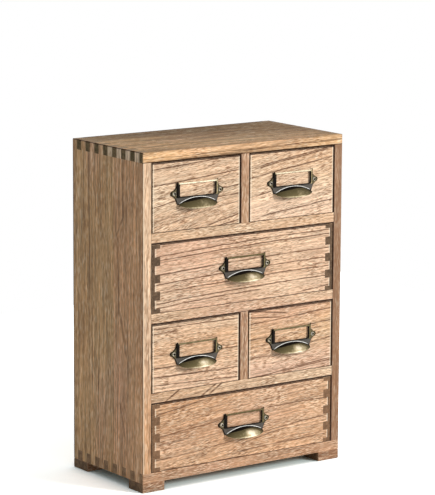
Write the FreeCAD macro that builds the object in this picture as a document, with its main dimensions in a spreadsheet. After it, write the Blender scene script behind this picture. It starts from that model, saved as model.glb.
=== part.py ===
import FreeCAD, Part
import math
import os
import Sketcher

# Desktop mini drawers: a small upright case of solid boards with six loose drawers in four rows.
# Rows from the top: a pair, one wide, a pair, one wide. The case stands on four corner blocks.
# X runs to the right along the front, Y from front to back, Z up. The origin is on the ground,
# in the middle of the part's box, which reaches from the tips of the pulls to the back of the case.

FINGERS = 15             # fingers of one case corner behind the narrow first one
SHELVES = 3
DRAWER_UNITS = 8         # a wide drawer's corner joint: half, seven whole and half a finger
COLUMN_NAILS = 4
ROW_NAILS = 2            # an even count, so that none meets the divider's tongue
FLATNESS_SHARE = 1e-6    # of the case's depth: how far an edge may leave a plane and still lie in it

# The driving sizes, in millimetres.
SIZES = {
    # the case
    "case_width": 289,
    "case_depth": 148,
    "case_height": 400,
    "board_thickness": 12,
    "case_arris": 0.6,
    "front_finger": 7,
    "joint_gap": 0.08,
    "housing_depth": 4,
    "housing_stop": 8,
    # the corner blocks that it stands on
    "foot_height": 11,
    "foot_width": 31,
    "foot_depth": 30,
    "foot_arris": 0.5,
    # the back panel and its nails
    "panel_thickness": 3,
    "panel_gap": 0.3,
    "rebate_depth": 4,
    "rebate_width": 6,
    "nail_radius": 0.6,
    "nail_head_radius": 1.5,
    "nail_head_height": 0.7,
    "nail_bite": 9,
    "nail_hole_gap": 0.08,
    "nail_end": 42,
    "nail_side": 58,
    # the drawers and the room that they run in
    "side_gap": 1.25,
    "top_gap": 1.2,
    "run_gap": 0.3,
    "rear_gap": 2,
    "drawer_arris": 0.8,
    "front_thickness": 12,
    "side_thickness": 11,
    "rear_thickness": 10,
    "rear_lap": 4,
    "front_lip": 4,
    "blind_strip": 3.2,
    "base_thickness": 3,
    "base_gap": 0.1,
    "base_height": 6,
    "groove_depth": 4,
    # the pull: a cast plate with two ears, a raised card frame and a cup below it
    "pull_raise": 3,
    "plate_thickness": 1.3,
    "ear_reach": 37.2,
    "ear_tip_radius": 2.9,
    "ear_neck": 2.6,
    "ear_root_height": 8.5,
    "ear_hollow_radius": 11,
    "waist_half_width": 30.2,
    "waist_drop": 7,
    "corner_half_width": 27.6,
    "corner_drop": 13.4,
    "frame_height": 2.8,
    "frame_half_width": 28.8,
    "frame_top": 12.2,
    "horn_half_width": 28.6,
    "horn_top": 13.8,
    "horn_root": 26.6,
    "frame_bottom": 5.2,
    "frame_arris": 0.35,
    "card_gap": 1.6,
    "card_half_width": 26.9,
    "card_floor": 4.6,
    "window_half_width": 25.2,
    "window_top": 10.4,
    "window_bottom": 4,
    "window_corner": 1.6,
    "cup_half_width": 26,
    "cup_crown": 5.9,
    "cup_corner": 12.4,
    "cup_lip": 17.2,
    "cup_reach": 13.2,
    "cup_wall": 1,
    "bowl_height": 30,
    "bead_radius": 0.7,
    "bead_arris": 0.55,
    "cut_overrun": 1,
    # the round-headed screws of a pull
    "screw_spread": 32.2,
    "screw_radius": 1,
    "screw_head_radius": 2.4,
    "screw_head_height": 1.5,
    "screw_bite": 9,
    "screw_hole_gap": 0.1,
    "slot_width": 0.7,
    "slot_depth": 0.6,
}

# What follows from the driving sizes.
WORKED = {
    "inner_width": "Sizes.case_width - 2 * Sizes.board_thickness",
    "row_height": "(Sizes.case_height - Sizes.foot_height - 5 * Sizes.board_thickness) / 4",
    "row_pitch": "row_height + Sizes.board_thickness",
    "bottom_floor": "Sizes.foot_height + Sizes.board_thickness",
    "lower_floor": "bottom_floor + row_pitch",
    "upper_floor": "lower_floor + row_pitch",
    "top_floor": "upper_floor + row_pitch",
    "front_plane": "(Sizes.cup_reach - Sizes.case_depth) / 2",
    "finger_width": f"(Sizes.case_depth - Sizes.front_finger) / {FINGERS}",
    "finger_pitch": "2 * finger_width",
    "side_height": "Sizes.case_height - Sizes.foot_height",
    "inner_depth": "Sizes.case_depth - Sizes.rebate_depth",
    "panel_half_width": "Sizes.case_width / 2 - Sizes.board_thickness + Sizes.rebate_width",
    "panel_bottom": "Sizes.foot_height + Sizes.board_thickness - Sizes.rebate_width",
    "panel_top": "Sizes.case_height - Sizes.board_thickness + Sizes.rebate_width",
    "nail_line": "panel_half_width - Sizes.rebate_width / 2",
    "nail_row": "Sizes.board_thickness - Sizes.rebate_width / 2",
    "nail_low": "bottom_floor - Sizes.rebate_width / 2",
    "nail_high": "Sizes.case_height - Sizes.board_thickness + Sizes.rebate_width / 2",
    "nail_column_pitch": f"(side_height - 2 * Sizes.nail_end) / {COLUMN_NAILS - 1}",
    "nail_row_pitch": f"(Sizes.case_width - 2 * Sizes.nail_side) / {ROW_NAILS - 1}",
    "nail_hole_radius": "Sizes.nail_radius + Sizes.nail_hole_gap",
    "drawer_height": "row_height - Sizes.run_gap - Sizes.top_gap",
    "drawer_depth": "inner_depth - Sizes.rear_gap",
    "wide_half": "inner_width / 2 - Sizes.side_gap",
    "small_half": "(inner_width - Sizes.board_thickness) / 4 - Sizes.side_gap",
    "small_centre": "(inner_width + Sizes.board_thickness) / 4",
    "drawer_finger": f"drawer_height / {DRAWER_UNITS}",
    "socket_depth": "Sizes.side_thickness - Sizes.blind_strip",
    "groove_height": "Sizes.base_thickness + 2 * Sizes.base_gap",
    "pull_height": "drawer_height / 2 + Sizes.pull_raise",
    "bowl_centre": "Sizes.cup_crown + Sizes.bowl_height",
    "bowl_width": "Sizes.cup_half_width / "
                  "sqrt(1 - ((bowl_centre - Sizes.cup_corner) / Sizes.bowl_height) ^ 2)",
    "bowl_reach": "Sizes.cup_reach / "
                  "sqrt(1 - ((bowl_centre - Sizes.cup_lip) / Sizes.bowl_height) ^ 2)",
    "arch_rise": "Sizes.cup_corner - Sizes.cup_crown",
    "arch_radius": "(Sizes.cup_half_width ^ 2 + arch_rise ^ 2) / (2 * arch_rise)",
    "ear_neck_reach": "Sizes.ear_reach - Sizes.ear_tip_radius"
                      " + sqrt(Sizes.ear_tip_radius ^ 2 - Sizes.ear_neck ^ 2)",
    "arch_centre": "Sizes.cup_crown + arch_radius",
    "bead_outer": "sqrt((arch_radius + Sizes.bead_radius) ^ 2 - Sizes.cup_half_width ^ 2) - arch_centre",
    "bead_inner": "sqrt((arch_radius - Sizes.bead_radius) ^ 2 - Sizes.cup_half_width ^ 2) - arch_centre",
    "bead_top": "Sizes.plate_thickness + Sizes.bead_radius",
    "lip_fall": "(Sizes.cup_lip - Sizes.cup_corner) / Sizes.cup_reach",
    "screw_head_curve": "(Sizes.screw_head_radius ^ 2 + Sizes.screw_head_height ^ 2)"
                        " / (2 * Sizes.screw_head_height)",
    "screw_hole_radius": "Sizes.screw_radius + Sizes.screw_hole_gap",
}

doc = FreeCAD.newDocument("mini_drawers")
nodes = []


def fill_sheet(name, cells):
    """A sheet with one named value in each row."""
    sheet = doc.addObject("Spreadsheet::Sheet", name)
    for row, (alias, content) in enumerate(cells.items(), start=1):
        sheet.set(f"A{row}", alias)
        sheet.set(f"B{row}", content)
        sheet.setAlias(f"B{row}", alias)
    doc.recompute()
    return sheet


fill_sheet("Sizes", {alias: str(number) for alias, number in SIZES.items()})
worked = fill_sheet("Worked", {alias: "=" + formula for alias, formula in WORKED.items()})


def s(alias):
    """The name by which an expression calls a size or a worked value."""
    return ("Sizes." if alias in SIZES else "Worked.") + alias


def value(expression):
    return float(worked.evalExpression(str(expression)))


def new_body(label):
    body = doc.addObject("PartDesign::Body", label)
    body.Label = label
    return body


def origin_feature(body, role):
    return next(item for item in body.Origin.OriginFeatures if item.Role == role)


def new_sketch(body, role, level="0", shift="0"):
    """A sketch on an origin plane of the body, moved to a level along the plane's normal."""
    sketch = body.newObject("Sketcher::SketchObject", "Sketch")
    sketch.AttachmentSupport = [(origin_feature(body, role), "")]
    sketch.MapMode = "FlatFace"
    sketch.setExpression("AttachmentOffset.Base.z", str(level))
    sketch.setExpression("AttachmentOffset.Base.x", str(shift))
    return sketch


def pin_point(sketch, edge, end, across, up):
    """Hold one end of an edge at its place, given as two expressions."""
    for kind, place in (("DistanceX", across), ("DistanceY", up)):
        index = sketch.addConstraint(Sketcher.Constraint(kind, edge, end, value(place)))
        sketch.setExpression(f"Constraints[{index}]", str(place))


def add_rectangle(sketch, left, bottom, right, top):
    """A rectangle between two opposite corners, given as four expressions."""
    spots = [(left, bottom), (right, bottom), (right, top), (left, top)]
    points = [FreeCAD.Vector(value(across), value(up), 0) for across, up in spots]
    first = sketch.GeometryCount
    for corner in range(4):
        sketch.addGeometry(Part.LineSegment(points[corner], points[(corner + 1) % 4]))
    for corner in range(4):
        edge = first + corner
        after = first + (corner + 1) % 4
        sketch.addConstraint(Sketcher.Constraint("Coincident", edge, 2, after, 1))
        kind = "Vertical" if corner % 2 else "Horizontal"
        sketch.addConstraint(Sketcher.Constraint(kind, edge))
    pin_point(sketch, first, 1, left, bottom)
    pin_point(sketch, first + 2, 1, right, top)


def add_circle(sketch, across, up, radius):
    centre = FreeCAD.Vector(value(across), value(up), 0)
    normal = FreeCAD.Vector(0, 0, 1)
    edge = sketch.addGeometry(Part.Circle(centre, normal, value(radius)))
    pin_point(sketch, edge, 3, across, up)
    index = sketch.addConstraint(Sketcher.Constraint("Radius", edge, value(radius)))
    sketch.setExpression(f"Constraints[{index}]", str(radius))


def arc_between(start, end, radius):
    """The arc under a half circle from start to end: it turns left where the radius is above zero."""
    chord = end - start
    half = chord.Length / 2
    rise = math.sqrt(max(radius * radius - half * half, 0))
    side = FreeCAD.Vector(-chord.y, chord.x, 0).normalize()
    centre = start + chord / 2 + side * math.copysign(rise, radius)
    first, last = (start, end) if radius > 0 else (end, start)
    angles = [math.atan2(point.y - centre.y, point.x - centre.x) for point in (first, last)]
    circle = Part.Circle(centre, FreeCAD.Vector(0, 0, 1), abs(radius))
    return Part.ArcOfCircle(circle, angles[0], angles[1])


def add_outline(sketch, corners):
    """A closed outline. A corner is (across, up), and a third item is the radius of the arc to the next."""
    count = len(corners)
    points = [FreeCAD.Vector(value(corner[0]), value(corner[1]), 0) for corner in corners]
    ends = []
    for number, corner in enumerate(corners):
        start, end = points[number], points[(number + 1) % count]
        if len(corner) == 3:
            radius = value(corner[2])
            edge = sketch.addGeometry(arc_between(start, end, radius))
            ends.append((edge, 1, 2) if radius > 0 else (edge, 2, 1))
        else:
            edge = sketch.addGeometry(Part.LineSegment(start, end))
            ends.append((edge, 1, 2))
    for number, corner in enumerate(corners):
        edge, start_end, far_end = ends[number]
        after, after_start, _ = ends[(number + 1) % count]
        sketch.addConstraint(Sketcher.Constraint("Coincident", edge, far_end, after, after_start))
        pin_point(sketch, edge, start_end, corner[0], corner[1])
        if len(corner) == 3:
            radius = value(corner[2])
            index = sketch.addConstraint(Sketcher.Constraint("Radius", edge, abs(radius)))
            sketch.setExpression(f"Constraints[{index}]", f"abs({corner[2]})")


def add_feature(body, kind, sketch, length):
    """Pad a sketch along its normal, or pocket it the other way."""
    feature = body.newObject("PartDesign::" + kind, kind)
    feature.Profile = sketch
    feature.setExpression("Length", str(length))
    body.Tip = feature
    return feature


def pad(body, sketch, length):
    return add_feature(body, "Pad", sketch, length)


def pocket(body, sketch, length):
    return add_feature(body, "Pocket", sketch, length)


def repeat(body, features, role, pitch, count):
    """Repeat features along an axis of the body."""
    pattern = body.newObject("PartDesign::LinearPattern", "LinearPattern")
    pattern.Originals = features
    pattern.Direction = (origin_feature(body, role), [""])
    pattern.Mode = "Spacing"
    pattern.Occurrences = count
    pattern.setExpression("Offset", str(pitch))
    body.Tip = pattern
    return pattern


def mirror(body, features):
    """Mirror features from the left half of the body to the right."""
    mirrored = body.newObject("PartDesign::Mirrored", "Mirrored")
    mirrored.Originals = features
    mirrored.MirrorPlane = (origin_feature(body, "YZ_Plane"), [""])
    body.Tip = mirrored
    return mirrored


def revolve(body, sketch):
    """Turn a profile once round its sketch's upright axis."""
    feature = body.newObject("PartDesign::Revolution", "Revolution")
    feature.Profile = sketch
    feature.ReferenceAxis = (sketch, ["V_Axis"])
    feature.Angle = 360
    body.Tip = feature
    return feature


def ease(body, kind, size, picks):
    """Fillet or chamfer the edges of the tip feature that the test picks."""
    doc.recompute()
    base = body.Tip
    edges = [f"Edge{n}" for n, edge in enumerate(base.Shape.Edges, start=1) if picks(edge)]
    feature = body.newObject("PartDesign::" + kind, kind)
    feature.Base = (base, edges)
    feature.setExpression({"Fillet": "Radius", "Chamfer": "Size"}[kind], str(size))
    body.Tip = feature
    return feature


def lies_at(edge, level):
    """True where an edge lies in a plane of constant Y, at the level that an expression gives."""
    box = edge.BoundBox
    slack = value(s("case_depth")) * FLATNESS_SHARE
    return max(abs(box.YMin - value(level)), abs(box.YMax - value(level))) < slack


def move(item, x="0", y="0", z="0"):
    for axis, expression in (("x", x), ("y", y), ("z", z)):
        item.setExpression(f"Placement.Base.{axis}", str(expression))
    return item


def copy_of(source, label):
    """A further piece of the same shape, which follows the shape that it copies."""
    body = new_body(label)
    body.AllowCompound = True
    body.BaseFeature = source
    return body


def add_node(label, source, x="0", y="0", z="0"):
    """One physical piece of the part: a copy of its pattern, at its place."""
    nodes.append(move(copy_of(source, label), x, y, z))


def common_of(first, second):
    common = doc.addObject("Part::Common", "Common")
    common.Base = first
    common.Tool = second
    return common


def other_hand(source):
    """The same piece mirrored from left to right."""
    item = doc.addObject("Part::Mirroring", "OtherHand")
    item.Source = source
    item.Normal = FreeCAD.Vector(1, 0, 0)
    return item


def eased_block(label, half, back, low, high, kind, size, picks):
    """A block whose picked edges are eased, as sanding leaves a box after gluing."""
    body = new_body(label)
    sketch = new_sketch(body, "XZ_Plane", f"-({back})")
    add_rectangle(sketch, f"-({half})", low, half, high)
    pad(body, sketch, back)
    ease(body, kind, size, picks)
    return body


front = s("front_plane")
board = s("board_thickness")
gap = s("joint_gap")
over = s("cut_overrun")
half_width = f"({s('case_width')} / 2)"


# The case. Its boards are glued at four finger-jointed corners and sanded flush together,
# so one eased block trims the outer arrises of all four.

def nail_holes(body, across, up, role, pitch, count):
    """A row of pilot holes that run forward into a board from the floor of its rebate."""
    sketch = new_sketch(body, "XZ_Plane", f"-({s('inner_depth')} - {s('nail_bite')})")
    add_circle(sketch, across, up, s("nail_hole_radius"))
    repeat(body, [pocket(body, sketch, s("nail_bite"))], role, pitch, count)


def divider_housing(body, level):
    """A stopped housing for a divider, cut down to its depth from a level."""
    sketch = new_sketch(body, "XY_Plane", level)
    half = f"({board} / 2 + {gap})"
    add_rectangle(sketch, f"-{half}", s("housing_stop"), half, f"{s('inner_depth')} + {over}")
    pocket(body, sketch, s("housing_depth"))


def end_board(label, housed):
    """The top or the bottom board: finger notches, a rebate and, for a divider, a housing."""
    body = new_body(label)
    outline = new_sketch(body, "XY_Plane")
    add_rectangle(outline, f"-{half_width}", "0", half_width, s("case_depth"))
    pad(body, outline, board)

    notches = new_sketch(body, "XY_Plane", board)
    near_side, far_side = s("front_finger"), f"{s('front_finger')} + {s('finger_width')}"
    root = f"({half_width} - {board})"
    add_rectangle(notches, f"-{half_width} - {over}", near_side, f"-{root}", far_side)
    add_rectangle(notches, root, near_side, f"{half_width} + {over}", far_side)
    repeat(body, [pocket(body, notches, board)], "Y_Axis", s("finger_pitch"), FINGERS // 2 + 1)

    rebate = new_sketch(body, "XY_Plane", s("rebate_width"))
    add_rectangle(rebate, f"-{s('panel_half_width')}", s("inner_depth"),
                  s("panel_half_width"), f"{s('case_depth')} + {over}")
    pocket(body, rebate, s("rebate_width"))
    if housed:
        divider_housing(body, s("housing_depth"))
    nail_holes(body, f"-{half_width} + {s('nail_side')}", f"{s('rebate_width')} / 2",
               "X_Axis", s("nail_row_pitch"), ROW_NAILS)
    return body


def side_board():
    """The left side: finger notches at both ends, three stopped housings and a rebate."""
    body = new_body("side_pattern")
    height, depth = s("side_height"), s("case_depth")
    outline = new_sketch(body, "YZ_Plane")
    add_rectangle(outline, "0", "0", depth, height)
    pad(body, outline, board)

    first = new_sketch(body, "YZ_Plane", board)
    first_end = f"{s('front_finger')} + {gap}"
    add_rectangle(first, f"-{over}", f"-{over}", first_end, board)
    add_rectangle(first, f"-{over}", f"{height} - {board}", first_end, f"{height} + {over}")
    pocket(body, first, board)

    notches = new_sketch(body, "YZ_Plane", board)
    near_side = f"{s('front_finger')} + {s('finger_width')} - {gap}"
    far_side = f"{s('front_finger')} + 2 * {s('finger_width')} + {gap}"
    add_rectangle(notches, near_side, f"-{over}", far_side, board)
    add_rectangle(notches, near_side, f"{height} - {board}", far_side, f"{height} + {over}")
    repeat(body, [pocket(body, notches, board)], "Y_Axis", s("finger_pitch"), FINGERS // 2)

    housing = new_sketch(body, "YZ_Plane", board)
    shelf_low = f"{board} + {s('row_height')}"
    add_rectangle(housing, s("housing_stop"), f"{shelf_low} - {gap}",
                  f"{s('inner_depth')} + {over}", f"{shelf_low} + {board} + {gap}")
    repeat(body, [pocket(body, housing, s("housing_depth"))], "Z_Axis", s("row_pitch"), SHELVES)

    rebate = new_sketch(body, "YZ_Plane", board)
    add_rectangle(rebate, s("inner_depth"), f"{board} - {s('rebate_width')}",
                  f"{depth} + {over}", f"{height} - {board} + {s('rebate_width')}")
    pocket(body, rebate, s("rebate_width"))
    nail_holes(body, s("nail_row"), s("nail_end"),
               "Z_Axis", s("nail_column_pitch"), COLUMN_NAILS)
    return body


def shelf(label, housed_above, housed_below):
    """A shelf. Behind the stops its ends run on into the housings of the sides."""
    body = new_body(label)
    outline = new_sketch(body, "XY_Plane")
    half = f"({s('inner_width')} / 2)"
    tongue = f"({half} + {s('housing_depth')} - {gap})"
    stop = f"{s('housing_stop')} + {gap}"
    add_outline(outline, [
        (f"-{half}", "0"), (half, "0"), (half, stop), (tongue, stop), (tongue, s("inner_depth")),
        (f"-{tongue}", s("inner_depth")), (f"-{tongue}", stop), (f"-{half}", stop)])
    pad(body, outline, board)
    if housed_above:
        divider_housing(body, board)
    if housed_below:
        divider_housing(body, s("housing_depth"))
    return body


def divider():
    """An upright between two shelves, let into both behind the stops."""
    body = new_body("divider_pattern")
    outline = new_sketch(body, "YZ_Plane", f"-{board} / 2")
    low, high = f"-{s('housing_depth')} + {gap}", f"{s('row_height')} + {s('housing_depth')} - {gap}"
    stop = f"{s('housing_stop')} + {gap}"
    add_outline(outline, [
        ("0", "0"), (stop, "0"), (stop, low), (s("inner_depth"), low), (s("inner_depth"), high),
        (stop, high), (stop, s("row_height")), ("0", s("row_height"))])
    pad(body, outline, board)
    return body


def back_panel():
    """A thin panel that lies in the rebates, drilled for its nails."""
    body = new_body("panel_pattern")
    back = f"{s('inner_depth')} + {s('panel_thickness')}"
    outline = new_sketch(body, "XZ_Plane", f"-({back})")
    half = f"({s('panel_half_width')} - {s('panel_gap')})"
    add_rectangle(outline, f"-{half}", f"{s('panel_bottom')} + {s('panel_gap')}",
                  half, f"{s('panel_top')} - {s('panel_gap')}")
    pad(body, outline, s("panel_thickness"))

    column = new_sketch(body, "XZ_Plane", f"-{s('inner_depth')}")
    row = new_sketch(body, "XZ_Plane", f"-{s('inner_depth')}")
    for side in ("-", ""):
        add_circle(column, f"{side}{s('nail_line')}", f"{s('foot_height')} + {s('nail_end')}",
                   s("nail_hole_radius"))
    for level in (s("nail_low"), s("nail_high")):
        add_circle(row, f"-{half_width} + {s('nail_side')}", level, s("nail_hole_radius"))
    repeat(body, [pocket(body, column, s("panel_thickness"))],
           "Z_Axis", s("nail_column_pitch"), COLUMN_NAILS)
    repeat(body, [pocket(body, row, s("panel_thickness"))],
           "X_Axis", s("nail_row_pitch"), ROW_NAILS)
    return body


def back_nails():
    """The nails of the back panel, each a shank with a flat head on the panel."""
    body = new_body("nail_pattern")
    body.AllowCompound = True
    face = f"({s('inner_depth')} + {s('panel_thickness')})"
    start = f"({s('inner_depth')} - {s('nail_bite')} + {s('panel_gap')})"

    def nail(across, level):
        sketch = new_sketch(body, "XY_Plane", level, across)
        add_outline(sketch, [
            ("0", start), (s("nail_radius"), start),
            (s("nail_radius"), face), (s("nail_head_radius"), face),
            (s("nail_head_radius"), f"{face} + {s('nail_head_height')}"),
            ("0", f"{face} + {s('nail_head_height')}")])
        return revolve(body, sketch)

    columns = [nail(f"{side}{s('nail_line')}", f"{s('foot_height')} + {s('nail_end')}")
               for side in ("-", "")]
    repeat(body, columns, "Z_Axis", s("nail_column_pitch"), COLUMN_NAILS)
    rows = [nail(f"-{half_width} + {s('nail_side')}", level)
            for level in (s("nail_low"), s("nail_high"))]
    repeat(body, rows, "X_Axis", s("nail_row_pitch"), ROW_NAILS)
    return body


def foot():
    body = new_body("foot_pattern")
    outline = new_sketch(body, "XY_Plane")
    add_rectangle(outline, f"-{s('foot_width')} / 2", "0",
                  f"{s('foot_width')} / 2", s("foot_depth"))
    pad(body, outline, s("foot_height"))
    ease(body, "Chamfer", s("foot_arris"), lambda edge: True)
    return body


def build_case():
    block = eased_block("case_block", half_width, s("case_depth"), s("foot_height"),
                        s("case_height"), "Chamfer", s("case_arris"), lambda edge: True)
    top = move(copy_of(end_board("top_pattern", True), "top_in_case"),
               z=f"{s('case_height')} - {board}")
    add_node("top_board", common_of(top, block), y=front)

    # The bottom board is the same cut, turned over about its long middle line.
    bottom = copy_of(end_board("bottom_pattern", False), "bottom_in_case")
    bottom.Placement.Rotation = FreeCAD.Rotation(FreeCAD.Vector(0, 1, 0), 180)
    move(bottom, z=s("bottom_floor"))
    add_node("bottom_board", common_of(bottom, block), y=front)

    side = move(copy_of(side_board(), "side_in_case"), f"-{half_width}", "0", s("foot_height"))
    left = common_of(side, block)
    add_node("left_side", left, y=front)
    add_node("right_side", other_hand(left), y=front)

    add_node("shelf_upper", shelf("shelf_upper_pattern", True, False),
             y=front, z=f"{s('top_floor')} - {board}")
    add_node("shelf_middle", shelf("shelf_middle_pattern", False, True),
             y=front, z=f"{s('upper_floor')} - {board}")
    add_node("shelf_lower", shelf("shelf_lower_pattern", True, False),
             y=front, z=f"{s('lower_floor')} - {board}")
    upright = divider()
    add_node("divider_upper", upright, y=front, z=s("top_floor"))
    add_node("divider_lower", upright, y=front, z=s("lower_floor"))
    add_node("back_panel", back_panel(), y=front)
    add_node("back_nails", back_nails(), y=front)

    block_foot = foot()
    across = f"({half_width} - {s('foot_width')} / 2)"
    for end, y in (("front", front), ("back", f"{front} + {s('case_depth')} - {s('foot_depth')}")):
        for hand, sign in (("left", "-"), ("right", "")):
            add_node(f"foot_{end}_{hand}", block_foot, f"{sign}{across}", y)


# A drawer: a front, two sides and a rear board round a thin base that lies in grooves.
# A pattern is drawn about the middle of the drawer's front, at the drawer's underside.

def base_groove(body, level):
    """The groove for the base, cut back from a level behind the front or into the rear board."""
    sketch = new_sketch(body, "XZ_Plane", f"-({level})")
    half = f"({s('wide_half')} + {over})"
    add_rectangle(sketch, f"-{half}", s("base_height"),
                  half, f"{s('base_height')} + {s('groove_height')}")
    pocket(body, sketch, s("groove_depth"))


def screw_pilots(body):
    sketch = new_sketch(body, "XZ_Plane")
    for side in ("-", ""):
        add_circle(sketch, f"{side}{s('screw_spread')}", s("pull_height"), s("screw_hole_radius"))
    pocket(body, sketch, s("screw_bite"))


def small_front(half):
    """A plain front: its ends are rebated at the back and lap over the sides."""
    body = new_body("small_front_pattern")
    outline = new_sketch(body, "XZ_Plane", f"-{s('front_thickness')}")
    add_rectangle(outline, f"-{half}", "0", half, s("drawer_height"))
    pad(body, outline, s("front_thickness"))
    laps = new_sketch(body, "XZ_Plane", f"-{s('front_lip')}")
    root = f"({half} - {s('side_thickness')})"
    top = f"{s('drawer_height')} + {over}"
    add_rectangle(laps, f"-{half} - {over}", f"-{over}", f"-{root}", top)
    add_rectangle(laps, root, f"-{over}", f"{half} + {over}", top)
    pocket(body, laps, f"{s('front_thickness')} - {s('front_lip')}")
    ease(body, "Fillet", s("drawer_arris"), lambda edge: lies_at(edge, "0"))
    base_groove(body, f"{s('front_thickness')} - {s('groove_depth')}")
    screw_pilots(body)
    return body


def wide_front(half):
    """A front whose fingers end in the sides, behind a strip of the sides' end grain."""
    body = new_body("wide_front_pattern")
    outline = new_sketch(body, "XZ_Plane", f"-{s('front_thickness')}")
    end = f"({half} - {s('blind_strip')})"
    add_rectangle(outline, f"-{end}", "0", end, s("drawer_height"))
    pad(body, outline, s("front_thickness"))

    root = f"({half} - {s('side_thickness')})"
    finger = s("drawer_finger")
    ends = new_sketch(body, "XZ_Plane")
    notches = new_sketch(body, "XZ_Plane")
    for left, right in ((f"-{half}", f"-{root}"), (root, half)):
        add_rectangle(ends, left, f"-{over}", right, f"{finger} / 2")
        add_rectangle(ends, left, f"{s('drawer_height')} - {finger} / 2",
                      right, f"{s('drawer_height')} + {over}")
        add_rectangle(notches, left, f"1.5 * {finger}", right, f"2.5 * {finger}")
    pocket(body, ends, s("front_thickness"))
    repeat(body, [pocket(body, notches, s("front_thickness"))],
           "Z_Axis", f"2 * {finger}", DRAWER_UNITS // 2 - 1)
    base_groove(body, f"{s('front_thickness')} - {s('groove_depth')}")
    screw_pilots(body)
    return body


def drawer_side(label, half, start, socketed):
    """The left side, grooved for the base and rebated for the rear board."""
    body = new_body(label)
    outer, inner = f"-{half}", f"-{half} + {s('side_thickness')}"
    outline = new_sketch(body, "YZ_Plane", outer)
    add_rectangle(outline, start, "0", s("drawer_depth"), s("drawer_height"))
    pad(body, outline, s("side_thickness"))

    groove = new_sketch(body, "YZ_Plane", inner)
    add_rectangle(groove, f"-{over}", s("base_height"), f"{s('drawer_depth')} + {over}",
                  f"{s('base_height')} + {s('groove_height')}")
    pocket(body, groove, s("groove_depth"))
    rebate = new_sketch(body, "YZ_Plane", inner)
    add_rectangle(rebate, f"{s('drawer_depth')} - {s('rear_thickness')}", f"-{over}",
                  f"{s('drawer_depth')} + {over}", f"{s('drawer_height')} + {over}")
    pocket(body, rebate, s("rear_lap"))
    if socketed:
        socket = new_sketch(body, "YZ_Plane", inner)
        finger = s("drawer_finger")
        add_rectangle(socket, f"-{over}", f"{finger} / 2 - {gap}",
                      s("front_thickness"), f"1.5 * {finger} + {gap}")
        repeat(body, [pocket(body, socket, s("socket_depth"))],
               "Z_Axis", f"2 * {finger}", DRAWER_UNITS // 2)
    return body


def drawer_rear(label, half):
    body = new_body(label)
    outline = new_sketch(body, "XZ_Plane", f"-{s('drawer_depth')}")
    end = f"({half} - {s('side_thickness')} + {s('rear_lap')})"
    add_rectangle(outline, f"-{end}", "0", end, s("drawer_height"))
    pad(body, outline, s("rear_thickness"))
    base_groove(body, f"{s('drawer_depth')} - {s('rear_thickness')}")
    return body


def drawer_base(label, half):
    body = new_body(label)
    outline = new_sketch(body, "XY_Plane", f"{s('base_height')} + {s('base_gap')}")
    reach = f"{s('groove_depth')} - {s('panel_gap')}"
    end = f"({half} - {s('side_thickness')} + {reach})"
    add_rectangle(outline, f"-{end}", f"{s('front_thickness')} - ({reach})",
                  end, f"{s('drawer_depth')} - {s('rear_thickness')} + {reach}")
    pad(body, outline, s("base_thickness"))
    return body


# The pull: a cast plate with two screwed ears, a raised frame for a card and a hollow cup.
# It is drawn about the middle of the line between its screws, on the drawer's front.

def both_hands(right, closing=()):
    """The corners of an outline from those of its right half, which run from the foot upwards."""
    left = []
    for number in reversed(range(len(right))):
        across, up = right[number][:2]
        arc = right[number - 1][2:] if number else closing
        left.append((f"-({across})", up, *arc))
    return right + left


def pull_plate():
    """The plate with its ears, the raised frame, the card slot behind it and the window."""
    body = new_body("plate")
    hollow = f"-{s('ear_hollow_radius')}"
    outline = new_sketch(body, "XZ_Plane")
    add_outline(outline, both_hands([
        (s("cup_half_width"), f"-{s('cup_corner')} - {s('cup_wall')} / 2"),
        (s("corner_half_width"), f"-{s('corner_drop')}"),
        (s("waist_half_width"), f"-{s('waist_drop')}", hollow),
        (s("ear_neck_reach"), f"-{s('ear_neck')}", s("ear_tip_radius")),
        (s("ear_neck_reach"), s("ear_neck"), hollow),
        (s("frame_half_width"), s("ear_root_height"))], (f"-{s('arch_radius')}",)))
    pad(body, outline, s("plate_thickness"))
    frame = new_sketch(body, "XZ_Plane")
    add_outline(frame, both_hands([
        (s("frame_half_width"), f"-{s('frame_bottom')}"),
        (s("horn_half_width"), s("horn_top")),
        (s("horn_root"), s("frame_top"))]))
    pad(body, frame, s("frame_height"))
    ease(body, "Chamfer", s("frame_arris"), lambda edge: lies_at(edge, f"-{s('frame_height')}"))

    slot = new_sketch(body, "XZ_Plane", s("card_gap"))
    add_rectangle(slot, f"-{s('card_half_width')}", f"-{s('card_floor')}",
                  s("card_half_width"), f"{s('horn_top')} + {over}")
    pocket(body, slot, s("card_gap"))
    window = new_sketch(body, "XZ_Plane", s("frame_height"))
    side, corner = s("window_half_width"), s("window_corner")
    inner = f"({side} - {corner})"
    low, high = f"-{s('window_bottom')}", s("window_top")
    add_outline(window, both_hands([
        (inner, low, corner), (side, f"{low} + {corner}"),
        (side, f"{high} - {corner}", corner), (inner, high)]))
    pocket(body, window, s("frame_height"))
    holes = new_sketch(body, "XZ_Plane", s("plate_thickness"))
    for side in ("-", ""):
        add_circle(holes, f"{side}{s('screw_spread')}", "0", s("screw_hole_radius"))
    pocket(body, holes, s("plate_thickness"))
    return body


def bowl(inset):
    """An ellipsoid about the cup's middle, drawn in by an inset all round."""
    item = doc.addObject("Part::Ellipsoid", "Bowl")
    item.setExpression("Radius1", f"{s('bowl_height')} - {inset}")
    item.setExpression("Radius2", f"{s('bowl_width')} - {inset}")
    item.setExpression("Radius3", f"{s('bowl_reach')} - {inset}")
    return move(item, z=f"-{s('bowl_centre')}")


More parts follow.
